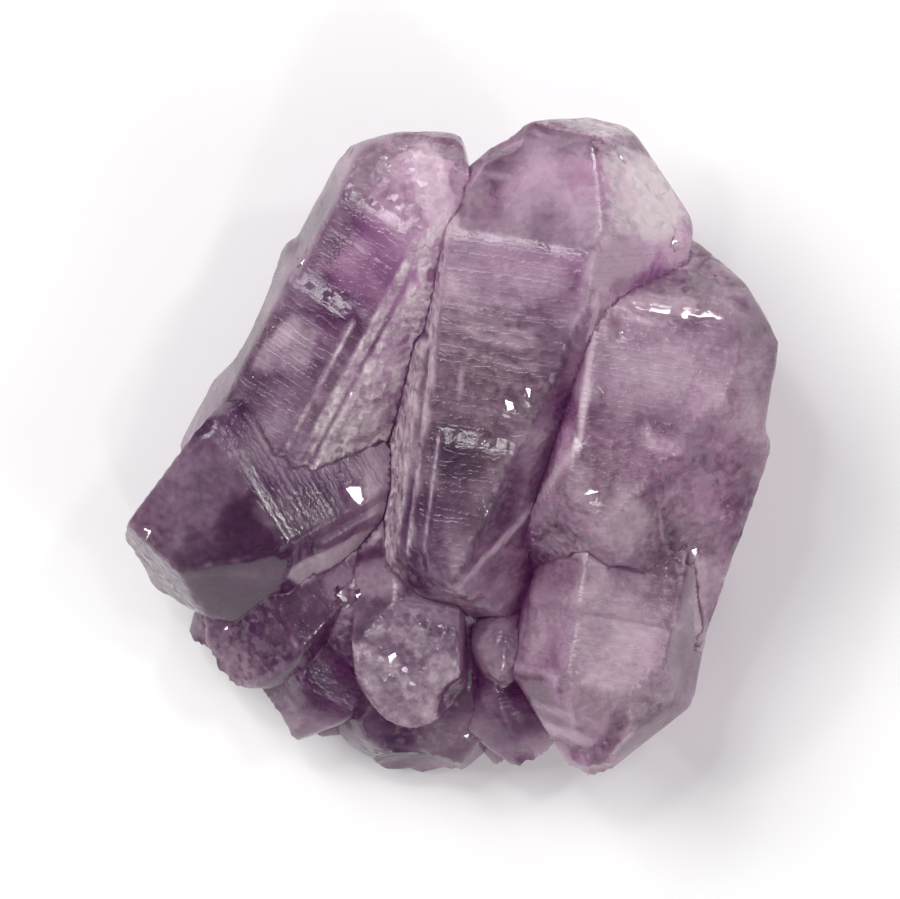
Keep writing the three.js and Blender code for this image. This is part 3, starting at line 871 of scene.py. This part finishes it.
# shade mixes pale into deep purple: partly the crystal's own colour, partly painted shade
tint = add(amethyst, "Mix", shade, PALE, DEEP_PURPLE_AND_SHADE, data_type="RGBA", clamp_factor=False)
frost_and_highlight = add(amethyst, "Math", speckled, 2.0, operation="POWER")
tint = add(amethyst, "Mix", frost_and_highlight, tint, FROST, data_type="RGBA")
skin = add(amethyst, "BsdfPrincipled", Base_Color=tint, IOR=1.544, Normal=relieved,
           Roughness=add(amethyst, "MapRange", matt, 0.0, 1.0, CLEAR_BLUR, MATT_BLUR),
           Transmission_Weight=add(amethyst, "MapRange", speckled, 0.0, 1.0, CLEAR_PASSES, FROSTED_PASSES))
body_colour = add(amethyst, "VolumeAbsorption", Color=BODY, Density=150.0)
add(amethyst, "OutputMaterial", Surface=skin, Volume=body_colour)

# %% [markdown]
# ## Floor, light and camera
# The stone lies on a plain pale sheet. A large soft lamp up on the left gives the shading, and small bright
# lamps give the pinpoint glints that show how flat and glassy the faces are. The camera looks straight down.

# %% Floor
FLOOR_HALF = 1.2
corners = np.array([(-1, -1, 0), (1, -1, 0), (1, 1, 0), (-1, 1, 0)]) * FLOOR_HALF
floor = put_mesh("floor", corners, np.array([[0, 1, 2, 3]]), np.zeros((0, 3), int), {})
paper = new_material("matt white paper", floor)
sheet = add(paper, "BsdfPrincipled", Base_Color=colour("#f4f3f3"), Roughness=0.9)
add(paper, "OutputMaterial", Surface=sheet)
floor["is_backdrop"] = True


# %% Lamps and world
def lamp(name, azimuth, climb, distance, size, power):
    """A square area lamp that faces the stone, which sees it at an azimuth, a climb and a distance."""
    data = bpy.data.lights.new(name, "AREA")
    data.size = size
    data.energy = power
    item = bpy.data.objects.new(name, data)
    item.location = heading(azimuth, climb) * distance
    item.rotation_mode = "QUATERNION"
    item.rotation_quaternion = item.location.to_track_quat("Z", "Y")
    bpy.context.scene.collection.objects.link(item)


lamp("soft key", azimuth=140, climb=52, distance=0.6, size=0.30, power=2.1)
lamp("soft fill", azimuth=-20, climb=40, distance=0.7, size=0.40, power=0.7)
for azimuth, climb in SMALL_LAMPS:
    lamp(f"small lamp {azimuth}", azimuth, climb, LAMP_DISTANCE * MM, size=0.035, power=0.18)
world = bpy.data.worlds.new("pale room")
world.use_nodes = True
world.node_tree.nodes["Background"].inputs["Color"].default_value = colour("#f2f2f4")
world.node_tree.nodes["Background"].inputs["Strength"].default_value = 0.4
bpy.context.scene.world = world
bpy.context.scene.view_settings.view_transform = "Standard"

# %% Camera
LENS, SENSOR = 300.0, 36.0
VIEW_WIDTH = 0.0385  # the frame's width at the middle of the stone's height
middle_height = (cad_low[2] + cad_high[2]) / 2
camera_data = bpy.data.cameras.new("camera")
camera_data.lens, camera_data.sensor_width = LENS, SENSOR
camera_data.clip_start, camera_data.clip_end = 0.01, 10.0
camera = bpy.data.objects.new("camera", camera_data)
camera.location = (0, 0, middle_height + VIEW_WIDTH * LENS / SENSOR)
bpy.context.scene.collection.objects.link(camera)
bpy.context.scene.camera = camera

# %% Compare the sizes and finish
low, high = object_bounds()
outside = [max(a - b, d - c) / MM for a, b, c, d in zip(cad_low, low, cad_high, high)]
print("stands out of the CAD box by, mm:", [round(value, 3) for value in outside])
